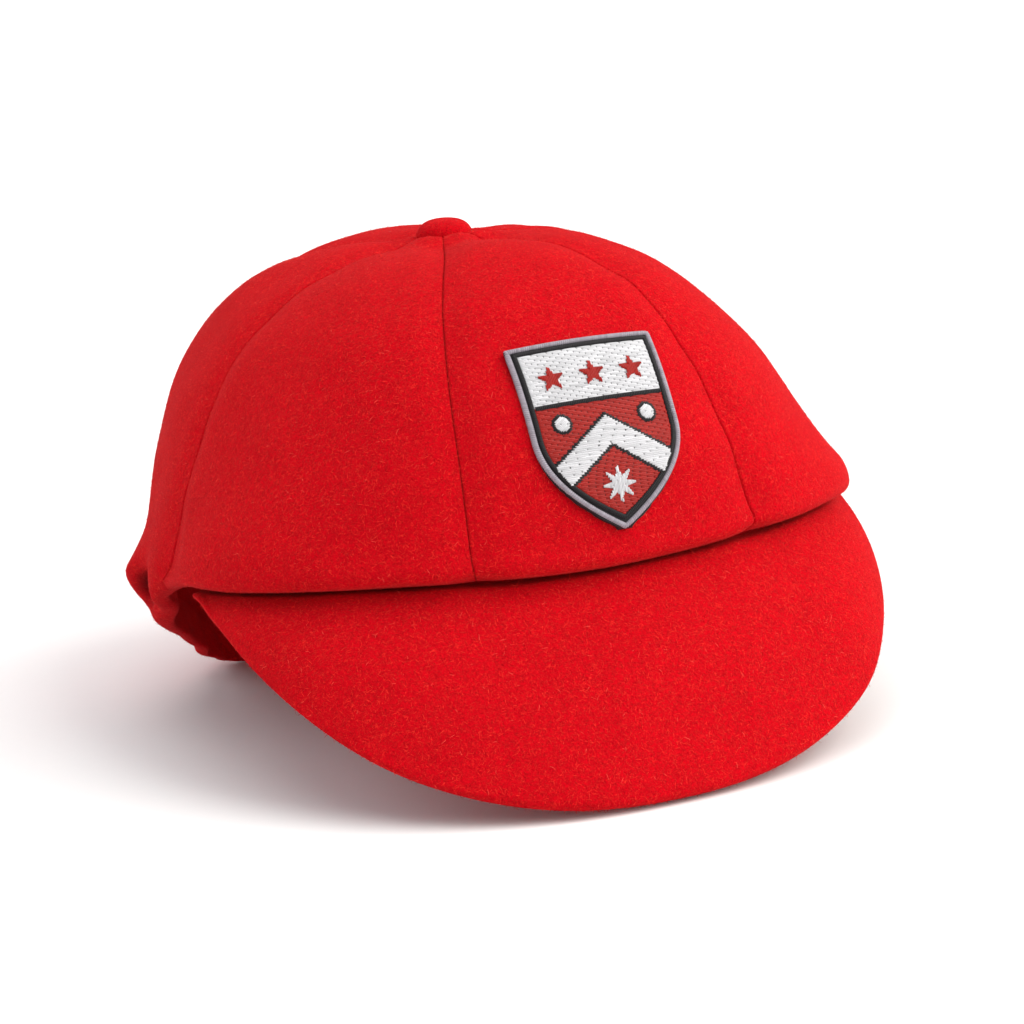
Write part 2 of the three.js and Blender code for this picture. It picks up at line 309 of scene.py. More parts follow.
def grid_faces(columns, rows, start=0):
    corner = start + np.arange(columns)[:, None] * (rows + 1) + np.arange(rows)
    quads = np.stack([corner, corner + rows + 1, corner + rows + 2, corner + 1], -1)
    return quads.reshape(-1, 4)


def strip_faces(first, second):
    return np.stack([first[:-1], first[1:], second[1:], second[:-1]], -1)


def slab(outer, inner):
    """Vertices and faces of the closed solid between two sheets of points."""
    columns, rows = outer.shape[0] - 1, outer.shape[1] - 1
    index = np.arange((columns + 1) * (rows + 1)).reshape(columns + 1, rows + 1)
    under = index + index.size
    faces = [
        grid_faces(columns, rows),
        grid_faces(columns, rows, index.size)[:, ::-1],
        strip_faces(under[:, 0], index[:, 0]),
        strip_faces(index[:, -1], under[:, -1]),
        strip_faces(index[0], under[0]),
        strip_faces(under[-1], index[-1]),
    ]
    points = np.concatenate([outer.reshape(-1, 3), inner.reshape(-1, 3)])
    return points, np.concatenate(faces)


def make_piece(name, points, faces, material, node=None, shade=None):
    """A smooth mesh in millimetres becomes a piece in metres that rides on the cap."""
    mesh = bpy.data.meshes.new(name)
    mesh.from_pydata((points * MM).tolist(), [], faces if isinstance(faces, list) else faces.tolist())
    mesh.shade_smooth()
    if shade is not None:
        tone = mesh.attributes.new("tone", "FLOAT", "POINT")
        tone.data.foreach_set("value", np.asarray(shade, np.float32))
    mesh.materials.append(material)
    piece = bpy.data.objects.new(name, mesh)
    bpy.context.scene.collection.objects.link(piece)
    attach(piece, "root")
    if node:
        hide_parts(node)


# Nap: loose fibres in millimetres, each a ribbon with a few cuts across it

FIBRE_CUTS = table(
    "along width",
    (0, 0.7),
    (0.33, 1.0),
    (0.67, 0.85),
    (1.0, 0.3),
)
FIBRE_SHORTEST = 0.35
FIBRE_FLATTEST = 0.04
FIBRE_CURL = 0.32
FIBRE_BEND = 0.4
FIBRE_ARCH = 2.5
FIBRE_ROOT = 0.05
FIBRE_WIDTH = (0.028, 0.05)
FIBRE_CLEAR = 0.3
HOLLOW_THINNING = 1.6


def fibre_places(outer, painted_hollow_shade, density, rng):
    """Random points of a sheet, few where shade is painted into its hollows, with their normals and a way
    along it.
    """
    a, b, c, d = outer[:-1, :-1], outer[1:, :-1], outer[1:, 1:], outer[:-1, 1:]
    across = np.cross(c - a, d - b).reshape(-1, 3)
    area = np.linalg.norm(across, axis=1) / 2
    area *= np.clip(1 - HOLLOW_THINNING * (painted_hollow_shade[:-1, :-1] + painted_hollow_shade[1:, 1:]) / 2, 0, 1).ravel()
    count = int(area.sum() * density)
    cell = rng.choice(len(area), count, p=area / area.sum())
    u, v = rng.random((2, count, 1))
    a, b, c, d = (corner.reshape(-1, 3)[cell] for corner in (a, b, c, d))
    point = (a * (1 - u) + b * u) * (1 - v) + (d * (1 - u) + c * u) * v
    normal = unit(across[cell])
    along = unit(np.cross(normal, rng.normal(size=(count, 3))))
    return point, normal, along


def build_nap(name, outer, painted_hollow_shade, material, felt, seed):
    """Short curled fibres lying loosely on a sheet of felt, each a narrow ribbon."""
    rng = np.random.default_rng(seed)
    point, normal, along = fibre_places(outer, painted_hollow_shade, felt.nap_density, rng)
    beside = np.cross(normal, along)
    count = len(point)
    length = rng.uniform(FIBRE_SHORTEST, 1.0, (count, 1)) * felt.nap_length / MM
    curl = rng.normal(0, FIBRE_CURL, (count, 1)) * length
    rise = rng.uniform(FIBRE_FLATTEST, 1.0, (count, 1)) ** 2 * felt.nap_rise / MM
    width = rng.uniform(*FIBRE_WIDTH, (count, 1))
    sides = []
    for cut in FIBRE_CUTS:
        step = cut["along"]
        middle = (point + along * length * step + beside * curl * (step * step - FIBRE_BEND * step)
                  + normal * (rise * math.sin(step * FIBRE_ARCH) - FIBRE_ROOT * (1 - step)))
        sides += [middle - beside * width * cut["width"], middle + beside * width * cut["width"]]
    strips = np.stack(sides, 1)
    strips = strips[strips[..., 2].min(axis=1) > FIBRE_CLEAR]
    count, size = strips.shape[:2]
    corner = (np.arange(count)[:, None] * size + np.arange(0, size - 2, 2)).reshape(-1)
    faces = np.stack([corner, corner + 2, corner + 3, corner + 1], -1)
    tone = np.repeat(rng.random(count), size)
    make_piece(name, strips.reshape(-1, 3), faces, material, shade=tone)


# Shader maths

class Value:
    """A shader socket that adds Math nodes as it is used in sums."""

    def __init__(self, shader, socket):
        self.shader = shader
        self.socket = socket

    def sum(self, operation, *values):
        node = self.shader.node("ShaderNodeMath", {"operation": operation}, dict(enumerate(values)))
        return node["Value"]

    def __add__(self, other):
        return self.sum("ADD", self, other)

    def __radd__(self, other):
        return self.sum("ADD", other, self)

    def __sub__(self, other):
        return self.sum("SUBTRACT", self, other)

    def __rsub__(self, other):
        return self.sum("SUBTRACT", other, self)

    def __mul__(self, other):
        return self.sum("MULTIPLY", self, other)

    def __rmul__(self, other):
        return self.sum("MULTIPLY", other, self)

    def __abs__(self):
        return self.sum("ABSOLUTE", self)

    def step(self, low, high):
        """0 below `low`, 1 above `high` and smooth between them."""
        inputs = {"Value": self, "From Min": low, "From Max": high}
        node = self.shader.node("ShaderNodeMapRange", {"interpolation_type": "SMOOTHSTEP"}, inputs)
        return node["Result"]


class Outputs:
    """A node's outputs by name."""

    def __init__(self, shader, node):
        self.shader = shader
        self.node = node

    def __getitem__(self, name):
        shown = [output for output in self.node.outputs if output.name == name and output.enabled]
        return Value(self.shader, shown[0])


class Shader:
    """A material whose nodes are added one call at a time."""

    def __init__(self, name, colour):
        self.material = bpy.data.materials.new(name)
        self.material.use_nodes = True
        self.material.diffuse_color = (*colour, 1)
        self.tree = self.material.node_tree
        self.tree.nodes.clear()

    def node(self, kind, settings=None, inputs=None):
        node = self.tree.nodes.new(kind)
        for key, value in (settings or {}).items():
            setattr(node, key, value)
        for key, value in (inputs or {}).items():
            socket = node.inputs[key]
            if isinstance(key, str):
                socket = [entry for entry in node.inputs if entry.name == key and entry.enabled][0]
            if isinstance(value, Value):
                self.tree.links.new(value.socket, socket)
            else:
                socket.default_value = value
        return Outputs(self, node)

    def mix(self, factor, first, second):
        """Colours are tuples of three; anything else is a link."""
        inputs = {"Factor": factor}
        for key, value in (("A", first), ("B", second)):
            inputs[key] = (*value, 1) if isinstance(value, tuple) else value
        settings = {"data_type": "RGBA", "clamp_factor": True}
        return self.node("ShaderNodeMix", settings, inputs)["Result"]

    def tone(self):
        """The number that each point of a piece carries for its material: on the felt it is painted
        shade, on fibres and threads a tone of their own.
        """
        return self.node("ShaderNodeAttribute", {"attribute_name": "tone"})["Fac"]

    def place(self):
        return self.node("ShaderNodeTexCoord")["Object"]

    def noise(self, place, size_mm, detail=2.0, roughness=0.5, distortion=0.0):
        """Noise from 0 to 1 whose grains are about `size_mm` across."""
        inputs = {"Vector": place, "Scale": 1 / (size_mm * MM), "Detail": detail}
        inputs.update({"Roughness": roughness, "Distortion": distortion})
        return self.node("ShaderNodeTexNoise", {"noise_dimensions": "3D"}, inputs)["Fac"]

    def shift(self, place, amount_mm):
        inputs = {0: place, 1: tuple(value * MM for value in amount_mm)}
        return self.node("ShaderNodeVectorMath", {"operation": "ADD"}, inputs)["Vector"]

    def surface(self, inputs):
        surface = self.node("ShaderNodeBsdfPrincipled", {}, inputs)
        self.node("ShaderNodeOutputMaterial", {}, {"Surface": surface["BSDF"]})
        return self.material

    def finish(self, base, roughness, height, relief_mm, fixed):
        """The surface itself, with bump `relief_mm` deep where height is 1."""
        relief = {"Height": height, "Distance": relief_mm * MM, "Strength": 1.0}
        normal = self.node("ShaderNodeBump", {}, relief)["Normal"]
        return self.surface({"Base Color": base, "Roughness": roughness, "Normal": normal, **fixed})


def tinted(colour, amount):
    return tuple(value * amount for value in colour)


def felt_material(name, settings):
    """Brushed wool: fine grain under a nap of short curled fibres, light and dark."""
    colour = tuple(settings.felt_colour)
    deep = tinted(colour, 0.55)
    felt = Shader(name, colour)
    place = felt.place()
    grain = felt.noise(place, 0.45, 3.0, 0.65)
    mottle = felt.noise(place, 14.0, 3.0, 0.55)
    patches = felt.noise(felt.shift(place, (31, 7, 12)), 4.5, 2.0, 0.6)

    def curls(size, offset, width, wander):
        lines = abs(felt.noise(felt.shift(place, offset), size, 1.5, 0.5, wander) - 0.5)
        return 1 - lines.step(0.0, width)

    long_curls = curls(2.1, (3, 17, 5), 0.022, 1.6) * patches.step(0.42, 0.62)
    short_curls = curls(1.2, (41, 2, 23), 0.035, 1.1) * (1 - patches.step(0.45, 0.7))
    dark_curls = curls(1.7, (11, 29, 2), 0.03, 1.3)
    tone = felt.mix(grain.step(0.3, 0.7) * 0.5 + mottle.step(0.3, 0.7) * 0.12 + 0.3, deep, colour)
    pits = felt.noise(felt.shift(place, (5, 61, 9)), 0.8, 1.0, 0.5).step(0.56, 0.7)
    tone = felt.mix(dark_curls * 0.22 + pits * 0.24, tone, deep)
    nap = (long_curls + short_curls * 0.7) * settings.nap_strength
    tone = felt.mix(nap, tone, tuple(settings.nap_colour))
    # Painted shade: the felt's colour is darkened towards a deep red where the tone attribute marks
    # seams, creases and the hem over the peak
    tone = felt.mix(felt.tone(), tone, tinted(colour, 0.12))
    height = grain * 0.5 + long_curls * 0.35 + short_curls * 0.3 - dark_curls * 0.25 - pits * 0.4
    return felt.finish(tone, 0.93 - grain * 0.08, height, settings.nap_relief / MM, {
        "Sheen Weight": settings.sheen, "Sheen Roughness": 0.35, "Sheen Tint": (1.0, 0.36, 0.3, 1),
        "Specular IOR Level": 0.03})


def fibre_material(name, settings):
    """Loose fibres: most are felt red, and a few catch the light."""
    colour = tuple(settings.felt_colour)
    fibre = Shader(name, colour)
    tone = fibre.tone()
    base = fibre.mix(tone.step(0.2, 0.95), tinted(colour, 0.68), tinted(settings.nap_colour, 0.9))
    base = fibre.mix(tone.step(0.965, 0.985) * 0.3, base, (0.95, 0.2, 0.16))
    return fibre.surface({"Base Color": base, "Roughness": 0.85, "Specular IOR Level": 0.08})


def thread_material(name, colour):
    """Embroidery thread: each stitch has a tone of its own and fine twisted strands."""
    thread = Shader(name, colour)
    tone = thread.tone()
    strands = thread.noise(thread.place(), 0.16, 2.0, 0.6, 0.4)
    light = tuple(min(value * 1.14 + 0.002, 1.0) for value in colour)
    base = thread.mix(tone * 0.75 + strands * 0.25, tinted(colour, 0.72), light)
    return thread.finish(base, 0.5 - strands * 0.12, strands, 0.05, {
        "Sheen Weight": 0.04, "Sheen Roughness": 0.4, "Specular IOR Level": 0.25})


# Settings that a user would change

def length_setting(name, description, low, high, default):
    return FloatProperty(
        name=name, description=description, subtype="DISTANCE", unit="LENGTH",
        min=low, max=high, default=default)


def colour_setting(name, description, default):
    return FloatVectorProperty(
        name=name, description=description, subtype="COLOR", size=3, min=0, max=1, default=default)


def share_setting(name, description, default):
    return FloatProperty(
        name=name, description=description, subtype="FACTOR", min=0, max=1, default=default)


def turn_setting(name, description, degrees):
    return FloatProperty(
        name=name, description=description, subtype="ANGLE", unit="ROTATION",
        default=math.radians(degrees))


class CapFeltSettings(bpy.types.PropertyGroup):
    felt_colour: colour_setting("Felt colour", "Colour of the felt itself", (0.66, 0.002, 0.009))
    nap_colour: colour_setting(
        "Nap colour", "Colour of the light fibres of the nap", (1.0, 0.04, 0.026))
    nap_strength: share_setting("Nap strength", "How strongly the light fibres show", 0.42)
    nap_relief: length_setting("Nap relief", "Height of the nap's fibres", 0, 0.002, 0.00022)
    nap_density: FloatProperty(
        name="Nap density", description="Loose fibres on a square millimetre of felt",
        min=0, max=3, default=1.35)
    nap_length: length_setting(
        "Fibre length", "Length of the longest loose fibres", 0.0002, 0.005, 0.0017)
    nap_rise: length_setting(
        "Fibre rise", "How far a loose fibre stands off the felt at most", 0, 0.002, 0.00035)
    sheen: share_setting("Sheen", "Soft light caught by the fibres at the edges", 0.1)
    wall: length_setting("Felt thickness", "Thickness of the crown's wall", 0.001, 0.003, 0.002)
    hem_wall: length_setting("Hem thickness", "Thickness of the turned hem", 0.002, 0.005, 0.0032)
    seam_roll: length_setting(
        "Seam roll", "Radius at which the felt rolls into a seam", 0.0003, 0.002, 0.00065)
    seam_dip: length_setting("Seam dip", "How far the felt sinks beside a seam", 0, 0.003, 0.0009)
    gather: length_setting(
        "Gather depth", "Depth of the fine gathers over the elastic", 0, 0.003, 0.0008)


class CapPeakSettings(bpy.types.PropertyGroup):
    thickness: length_setting(
        "Peak thickness", "Thickness of the covered peak", 0.001, 0.006, 0.0032)
    half_width: length_setting("Half width", "Half of the peak's width", 0.05, 0.12, 0.0828)
    reach: length_setting(
        "Reach", "How far the edge runs forward of the corners", 0.04, 0.12, 0.0855)
    bulge: length_setting(
        "Bulge", "How far the peak bows between root and edge", 0, 0.01, 0.0024)


class CapBadgeSettings(bpy.types.PropertyGroup):
    half_width: length_setting("Half width", "Half of the badge's width", 0.01, 0.04, 0.0178)
    height: length_setting("Height", "Height of the badge along the felt", 0.02, 0.06, 0.045)
    pitch: length_setting(
        "Thread pitch", "Distance from one row of thread to the next", 0.0002, 0.001, 0.00042)
    red: colour_setting("Red thread", "Colour of the red thread", (0.34, 0.008, 0.004))
    white: colour_setting("White thread", "Colour of the white thread", (0.62, 0.61, 0.635))
    black: colour_setting("Black thread", "Colour of the black thread", (0.008, 0.006, 0.008))
    edge: colour_setting("Edge thread", "Colour of the overlocked edge", (0.36, 0.32, 0.37))


class CapStageSettings(bpy.types.PropertyGroup):
    azimuth: turn_setting("Azimuth", "Camera's angle round the cap", -22.0)
    elevation: turn_setting("Elevation", "Camera's angle above the table", 14.27)
    roll: turn_setting("Roll", "Camera's turn about its own line of sight", 3.87)
    distance: length_setting("Distance", "Camera's distance from the cap", 0.3, 3, 0.9)
    aim: FloatVectorProperty(
        name="Aim", description="Point that the camera looks at", subtype="TRANSLATION",
        unit="LENGTH", size=3, default=(0.00357, -0.0005, 0.04549))
    view_width: length_setting(
        "View width", "Width of what the camera sees at the aim", 0.1, 1, 1.024 / 4.13)
    floor_size: length_setting("Floor size", "Width of the floor", 1, 100, 40.0)


def settings():
    return bpy.context.scene.school_cap


class CapSettings(bpy.types.PropertyGroup):
    felt: PointerProperty(type=CapFeltSettings)
    peak: PointerProperty(type=CapPeakSettings)
    badge: PointerProperty(type=CapBadgeSettings)
    stage: PointerProperty(type=CapStageSettings)


# Crown

SEAM_REACH = 4.0
PANEL_SAG = 0.7
PUCKER = {"out": 0.16, "finer": 2.4, "reach": 5}
FRONT_ROLL = {"out": 1.5, "above": 4.2, "rise": 3.0}
OVER_PEAK = (92, 104)
BUTTON_NEST = {"out": 2.3, "away": 8.2, "spread": 4.0}
GATHERS = {"from": 118, "full": 134, "above": 13, "pitch": 10.5}
GATHER_WANDER = table(
    "size length start",
    (1.3, 17, 0.7),
    (0.8, 9.3, 2.1),
)
ROUND_RADIUS = 80

# Turned hem, fatter beside the last fold, and seam allowances inside
LIP = 1.5
INNER_LIP = 0.9
HEM_FAT = {"angle": 109, "spread": 12, "out": 1.6, "fade": 4.0}
HEM_TURN = 11.0
ALLOWANCE = {"width": 6.0, "thick": 0.8, "step": 0.8}

# Painted shade: how much darker the felt's colour is made down in a seam, along the hem over the peak and
# in the creases, where shade falls
SEAM_PAINTED_SHADE = {"dark": 0.1, "reach": 0.5}
HEM_PAINTED_SHADE = {"dark": 0.2, "reach": 1.2}
CREASE_PAINTED_SHADE = {"dark": 0.95, "deep": 3.6}

# Rows and columns of a panel: distances from seam and hem, then cells of even size
SEAM_STATIONS = [0, 0.1, 0.25, 0.45, 0.7, 1.0, 1.4, 2.0, 2.9, 4.0]
SEAM_SHARE = 0.3
LIP_STATIONS = [0, 0.12, 0.3, 0.55, 0.85, 1.2, 1.6, 2.2, 3.0, 4.0]
CELL = 1.3
FINE_CELL = 0.75
FINE_UP_TO = 16.0
CROWDING = {"more": 1.6, "angle": 110, "spread": 7}
RING_STEPS = 600
ACROSS_STEPS = 400


def panel_edges(panel, ring):
    """Angles of a panel's two seams and its middle on a ring."""
    start = seam_angle(panel["start"], ring)
    end = seam_angle(panel["end"], ring) + panel["turn"]
    return start, end, wrapped((start + end) / 2)


def panel_grid(panel):
    """Angles and rings of a panel's columns and rows, closer near seams and hem."""
    fine = np.linspace(0, LAST_RING, RING_STEPS)
    middle = panel_edges(panel, fine)[2]
    length = path_lengths(crown_base(middle, fine), 0)
    low = np.arange(LIP_STATIONS[-1], FINE_UP_TO, FINE_CELL)
    high = np.linspace(FINE_UP_TO, length[-1], int((length[-1] - FINE_UP_TO) / CELL))
    rings = np.interp(np.concatenate([LIP_STATIONS[:-1], low, high]), length, fine)
    start, end, middle = panel_edges(panel, rings)
    degree = ring_point(middle + 0.5, rings) - ring_point(middle - 0.5, rings)
    width = np.linalg.norm(degree, axis=-1) * (end - start)
    columns = int(width.max() / CELL)
    share = np.linspace(0, 1, ACROSS_STEPS)
    at_hem = np.abs(wrapped(start[0] + (end[0] - start[0]) * share))
    crowding = np.cumsum(1 + CROWDING["more"] * bump(at_hem, CROWDING["angle"], CROWDING["spread"]))
    crowding = (crowding - crowding[0]) / (crowding[-1] - crowding[0])
    near = np.array(SEAM_STATIONS)[:, None]
    near = near * np.minimum(1, SEAM_SHARE * width / SEAM_STATIONS[-1]) / width
    between = np.interp(np.linspace(0, 1, columns)[1:-1], crowding, share)[:, None]
    inner = near[-1] + (1 - 2 * near[-1]) * between
    across = np.concatenate([near, inner, 1 - near[::-1]])
    return start + (end - start) * across, np.broadcast_to(rings, across.shape), across, width


def gathers(angle, above, round_mm, depth):
    """Fine uneven gathers where elastic draws in the back of the hem."""
    reach = smooth_step(GATHERS["from"], GATHERS["full"], np.abs(angle))
    reach = reach * bump(above, 0, GATHERS["above"])
    wander = sum(row["size"] * np.sin(round_mm / row["length"] + row["start"]) for row in GATHER_WANDER)
    return depth * reach * np.sin(round_mm * 2 * math.pi / GATHERS["pitch"] + wander)


def build_panel(panel, material, felt):
    """One panel of felt. Gives back its outer sheet and the shade painted into its hollows."""
    angle, ring, across, width = panel_grid(panel)
    turn = wrapped(angle)
    base = crown_base(turn, ring)
    above = path_lengths(base, 1)
    to_seam = np.minimum(across, 1 - across) * width
    level = 1 - fade((LAST_RING - ring) / 2)
    over_peak = 1 - smooth_step(*OVER_PEAK, np.abs(turn))
    creases = folds_out(turn, ring, CREASES)
    dip = felt.seam_dip / MM * bump(to_seam, 0, SEAM_REACH)
    sag = PANEL_SAG * (1 - np.sin(math.pi * across))
    pucker = PUCKER["out"] * waves(base * PUCKER["finer"], 5) * bump(to_seam, 0, PUCKER["reach"])
    soft = waves(base, 11) + pucker / SWELLS[0]["height"]
    soft = soft + gathers(turn, above, np.radians(angle) * ROUND_RADIUS, felt.gather / MM)
    soft += creases + folds_out(turn, ring, SETTLED)
    soft += FRONT_ROLL["out"] * over_peak * bump(above, FRONT_ROLL["above"], FRONT_ROLL["rise"])
    to_button = np.hypot(base[..., 0], base[..., 1] - RINGS[-1]["side_y"])
    ahead = 0.5 + 0.5 * np.cos(np.radians(turn))
    nest = BUTTON_NEST["out"] * ahead * bump(to_button, BUTTON_NEST["away"], BUTTON_NEST["spread"])
    swell = -(dip + sag) * level + soft * level + nest
    roll = rounded(to_seam, felt.seam_roll / MM) * (0.35 + 0.65 * level)
    fat = HEM_FAT["out"] * bump(np.abs(turn), HEM_FAT["angle"], HEM_FAT["spread"])
    outer = crown_point(angle, ring, swell - both_edges(roll, rounded(above, LIP + 0.5 * fat)))
    thick = felt.wall / MM + (felt.hem_wall - felt.wall) / MM * fade(above - HEM_TURN + 0.5)
    thick += fat * fade((above - HEM_TURN) / HEM_FAT["fade"] + 1)
    thick += ALLOWANCE["thick"] * fade((to_seam - ALLOWANCE["width"]) / ALLOWANCE["step"] + 0.5) * level
    inner = crown_point(angle, ring, swell - thick + rounded(above, INNER_LIP + 0.7 * fat))
    # Painted shade: the felt's colour is darkened in the seams, on the hem's underside over the peak and
    # down in the creases; the inner face gets only the hem's painted shade
    painted_seam_shade = SEAM_PAINTED_SHADE["dark"] * bump(to_seam, 0, SEAM_PAINTED_SHADE["reach"]) * (0.3 + 0.7 * level)
    painted_hem_shade = HEM_PAINTED_SHADE["dark"] * bump(above, 0, HEM_PAINTED_SHADE["reach"]) * over_peak
    painted_crease_shade = np.clip(-creases / CREASE_PAINTED_SHADE["deep"], 0, CREASE_PAINTED_SHADE["dark"])
    painted_hollow_shade = 1 - (1 - painted_seam_shade) * (1 - painted_hem_shade) * (1 - painted_crease_shade)
    shade = np.concatenate([painted_hollow_shade.ravel(), painted_hem_shade.ravel()])
    points, faces = slab(outer, inner)
    make_piece(f"felt_{panel['node']}", points, faces, material, panel["node"], shade)
    return outer, painted_hollow_shade


class MESH_OT_cap_crown(bpy.types.Operator):
    """Builds the six felt panels of the crown"""
    bl_idname = "mesh.cap_crown"
    bl_label = "Crown panels"

    def execute(self, context):
        felt = settings().felt
        material = felt_material("crown_felt", felt)
        fibre = fibre_material("crown_fibre", felt)
        for number, panel in enumerate(PANELS):
            outer, painted_hollow_shade = build_panel(panel, material, felt)
            build_nap(f"nap_{panel['node']}", outer, painted_hollow_shade, fibre, felt, 100 + number)
        return {"FINISHED"}


# Peak

PEAK_ROOT_ANGLE = 82
PEAK_ROOT_RING = 0.7
PEAK_ROOT_DEPTH = 4.6
PEAK_NECK_DEPTH = 1.0
PEAK_NECK_DROP = 1.25
PEAK_HEEL_DROP = 0.9

# The peak's edge: corners, front and how its curve runs between them
PEAK_ASKEW = -1.2
PEAK_CORNER_Y = -13.8
PEAK_CORNER_Z = 42.2
PEAK_SIDE_Z = 44.7
PEAK_FRONT_Z = 1.8
PEAK_LEVELLING = 0.6
PEAK_SIDE_POWER = 0.88
PEAK_FRONT_POWER = 0.86
PEAK_EASE = table(
    "side spread out",
    (-0.5, 0.14, 0.55),
    (-0.12, 0.16, 0.45),
    (0.47, 0.1, 0.65),
)
PEAK_EDGE_RADIUS = 1.5
PEAK_EDGE_SEAM = {"deep": 0.2, "reach": 0.25}
PEAK_END_THIN = {"thin": 0.62, "from": 0.84, "to": 0.985}
PEAK_BOW_LENGTH = 30
PEAK_SWELL = {"top": 0.7, "under": 0.4, "fade": 6}
# Painted shade: the peak's top is darkened where it runs in under the hem
PEAK_ROOT_PAINTED_SHADE = {"dark": 0.25, "from": -0.3, "to": 0.01}

# Rows and columns of the peak
PEAK_CELL = 1.2
PEAK_COLUMNS = 200
PEAK_END = 1 - np.array([0, 0.0004, 0.001, 0.002, 0.0035, 0.005])
PEAK_LONGEST = 56.0
PEAK_HIDDEN_ROWS = [-1, -0.75, -0.6, -0.5, -0.38, -0.24, -0.12, -0.05]
PEAK_EDGE_ROWS = [0, 0.08, 0.25, 0.5, 0.8, 1.1, 1.5, 2.1, 3.0]


def peak_edge(side, peak):
    sin, cos = np.sin(side * math.pi / 2), np.maximum(np.cos(side * math.pi / 2), 0)
    x = peak.half_width / MM * np.sign(sin) * np.abs(sin) ** PEAK_SIDE_POWER
    y = PEAK_CORNER_Y - peak.reach / MM * cos ** PEAK_FRONT_POWER
    z = PEAK_SIDE_Z + (PEAK_FRONT_Z - PEAK_SIDE_Z) * cos
    z = -PEAK_LEVELLING * np.logaddexp(-z / PEAK_LEVELLING, -PEAK_CORNER_Z / PEAK_LEVELLING)
    ease = sum(row["out"] * bump(side, row["side"], row["spread"]) for row in PEAK_EASE)
    return np.stack([x + PEAK_ASKEW * cos ** 0.5 + ease * sin, y - ease * cos, z], -1)


def peak_root(side, ring, depth):
    return crown_point(side * PEAK_ROOT_ANGLE, np.full_like(side, ring), -depth)


def peak_top(side, along, peak):
    """The upper face: `along` runs from -1 at the root, under the hem, to 1 at the edge."""
    neck = peak_root(side, 0.0, PEAK_NECK_DEPTH)
    neck[..., 2] -= PEAK_NECK_DROP
    heel = peak_root(side, 0.0, PEAK_ROOT_DEPTH)
    heel[..., 2] -= PEAK_HEEL_DROP
    root = peak_root(side, PEAK_ROOT_RING, PEAK_ROOT_DEPTH)
    edge = peak_edge(side, peak)
    run = edge - neck
    round_way = peak_edge(side + 0.01, peak) - peak_edge(side - 0.01, peak)
    out = -unit(np.cross(round_way, run))
    length = np.linalg.norm(run, axis=-1)
    forward = np.clip(along, 0, 1)
    bulge = peak.bulge / MM * 4 * forward * (1 - forward) * np.minimum(length / PEAK_BOW_LENGTH, 1)
    under = np.clip(-2 * along, 0, 1)[..., None]
    inside = np.clip(-2 * along - 1, 0, 1)[..., None]
    plate = neck + run * forward[..., None] + out * bulge[..., None]
    return plate + (heel - neck) * under + (root - heel) * inside


def build_peak(material, peak):
    """The peak itself. Gives back the sheets outside the hem and the shade painted on the upper sheet."""
    steps = np.linspace(-1, 1, PEAK_COLUMNS + 1)
    side = 0.35 * np.sin(steps * math.pi / 2) + 0.65 * steps
    side = np.concatenate([-PEAK_END, side[1:-1], PEAK_END[::-1]])
    edge_in = 1 - np.array(PEAK_EDGE_ROWS) / PEAK_LONGEST
    run = np.linspace(0, edge_in[-1], int(PEAK_LONGEST / PEAK_CELL))[:-1]
    along = np.concatenate([PEAK_HIDDEN_ROWS, run, edge_in[::-1]])
    side, along = np.meshgrid(side, along, indexing="ij")
    top = peak_top(side, along, peak)
    still = np.clip(side, -0.985, 0.985)
    ahead = np.clip(along, -0.95, 0.97)
    round_way = peak_top(still + 0.008, ahead, peak) - peak_top(still - 0.008, ahead, peak)
    out_way = peak_top(still, ahead + 0.02, peak) - peak_top(still, ahead - 0.02, peak)
    normal = -unit(np.cross(round_way, out_way))
    length = path_lengths(top, 1)
    to_edge = length[:, -1:] - length
    soft = waves(top, 23) * PEAK_SWELL["top"] * smooth_step(0, PEAK_SWELL["fade"], to_edge)
    seam = PEAK_EDGE_SEAM["deep"] * bump(to_edge, 0, PEAK_EDGE_SEAM["reach"])
    thin = smooth_step(PEAK_END_THIN["from"], PEAK_END_THIN["to"], np.abs(side))
    taper = 1 - PEAK_END_THIN["thin"] * thin
    across = path_lengths(top, 0)
    to_end = np.minimum(across, across[-1:] - across)
    round_edge = both_edges(rounded(to_edge, PEAK_EDGE_RADIUS), rounded(to_end, PEAK_EDGE_RADIUS)) * taper
    thick = peak.thickness / MM * taper
    upper = top + normal * (soft - round_edge - seam)[..., None]
    lower = top - normal * (thick - round_edge - soft * PEAK_SWELL["under"])[..., None]
    # Painted shade on the upper face, darkest under the hem and gone just past the neck
    painted_hollow_shade = PEAK_ROOT_PAINTED_SHADE["dark"] * (1 - smooth_step(PEAK_ROOT_PAINTED_SHADE["from"], PEAK_ROOT_PAINTED_SHADE["to"], along))
    points, faces = slab(lower, upper)
    shade = np.concatenate([np.zeros(painted_hollow_shade.size), painted_hollow_shade.ravel()])
    make_piece("felt_peak", points, faces, material, "peak", shade)
    shown = len(PEAK_HIDDEN_ROWS)
    return upper[:, shown:][::-1], lower[:, shown:], painted_hollow_shade[:, shown:][::-1]


class MESH_OT_cap_peak(bpy.types.Operator):
    """Builds the felt-covered peak"""
    bl_idname = "mesh.cap_peak"
    bl_label = "Peak"

    def execute(self, context):
        felt = settings().felt
        upper, lower, painted_hollow_shade = build_peak(felt_material("peak_felt", felt), settings().peak)
        fibre = fibre_material("peak_fibre", felt)
        build_nap("nap_peak_top", upper, painted_hollow_shade, fibre, felt, 201)
        build_nap("nap_peak_under", lower, np.zeros_like(painted_hollow_shade), fibre, felt, 202)
        return {"FINISHED"}


# Button

BUTTON_SIDES = 96
BUTTON_SETTLE = 0.5
BUTTON_LIFT = 0.1
BUTTON_PLEATS = {"count": 22, "deep": 0.022, "level": 0.05, "spread": 0.28}
BUTTON_TOP_RISE = 0.05
BUTTON_SWELL = 0.35

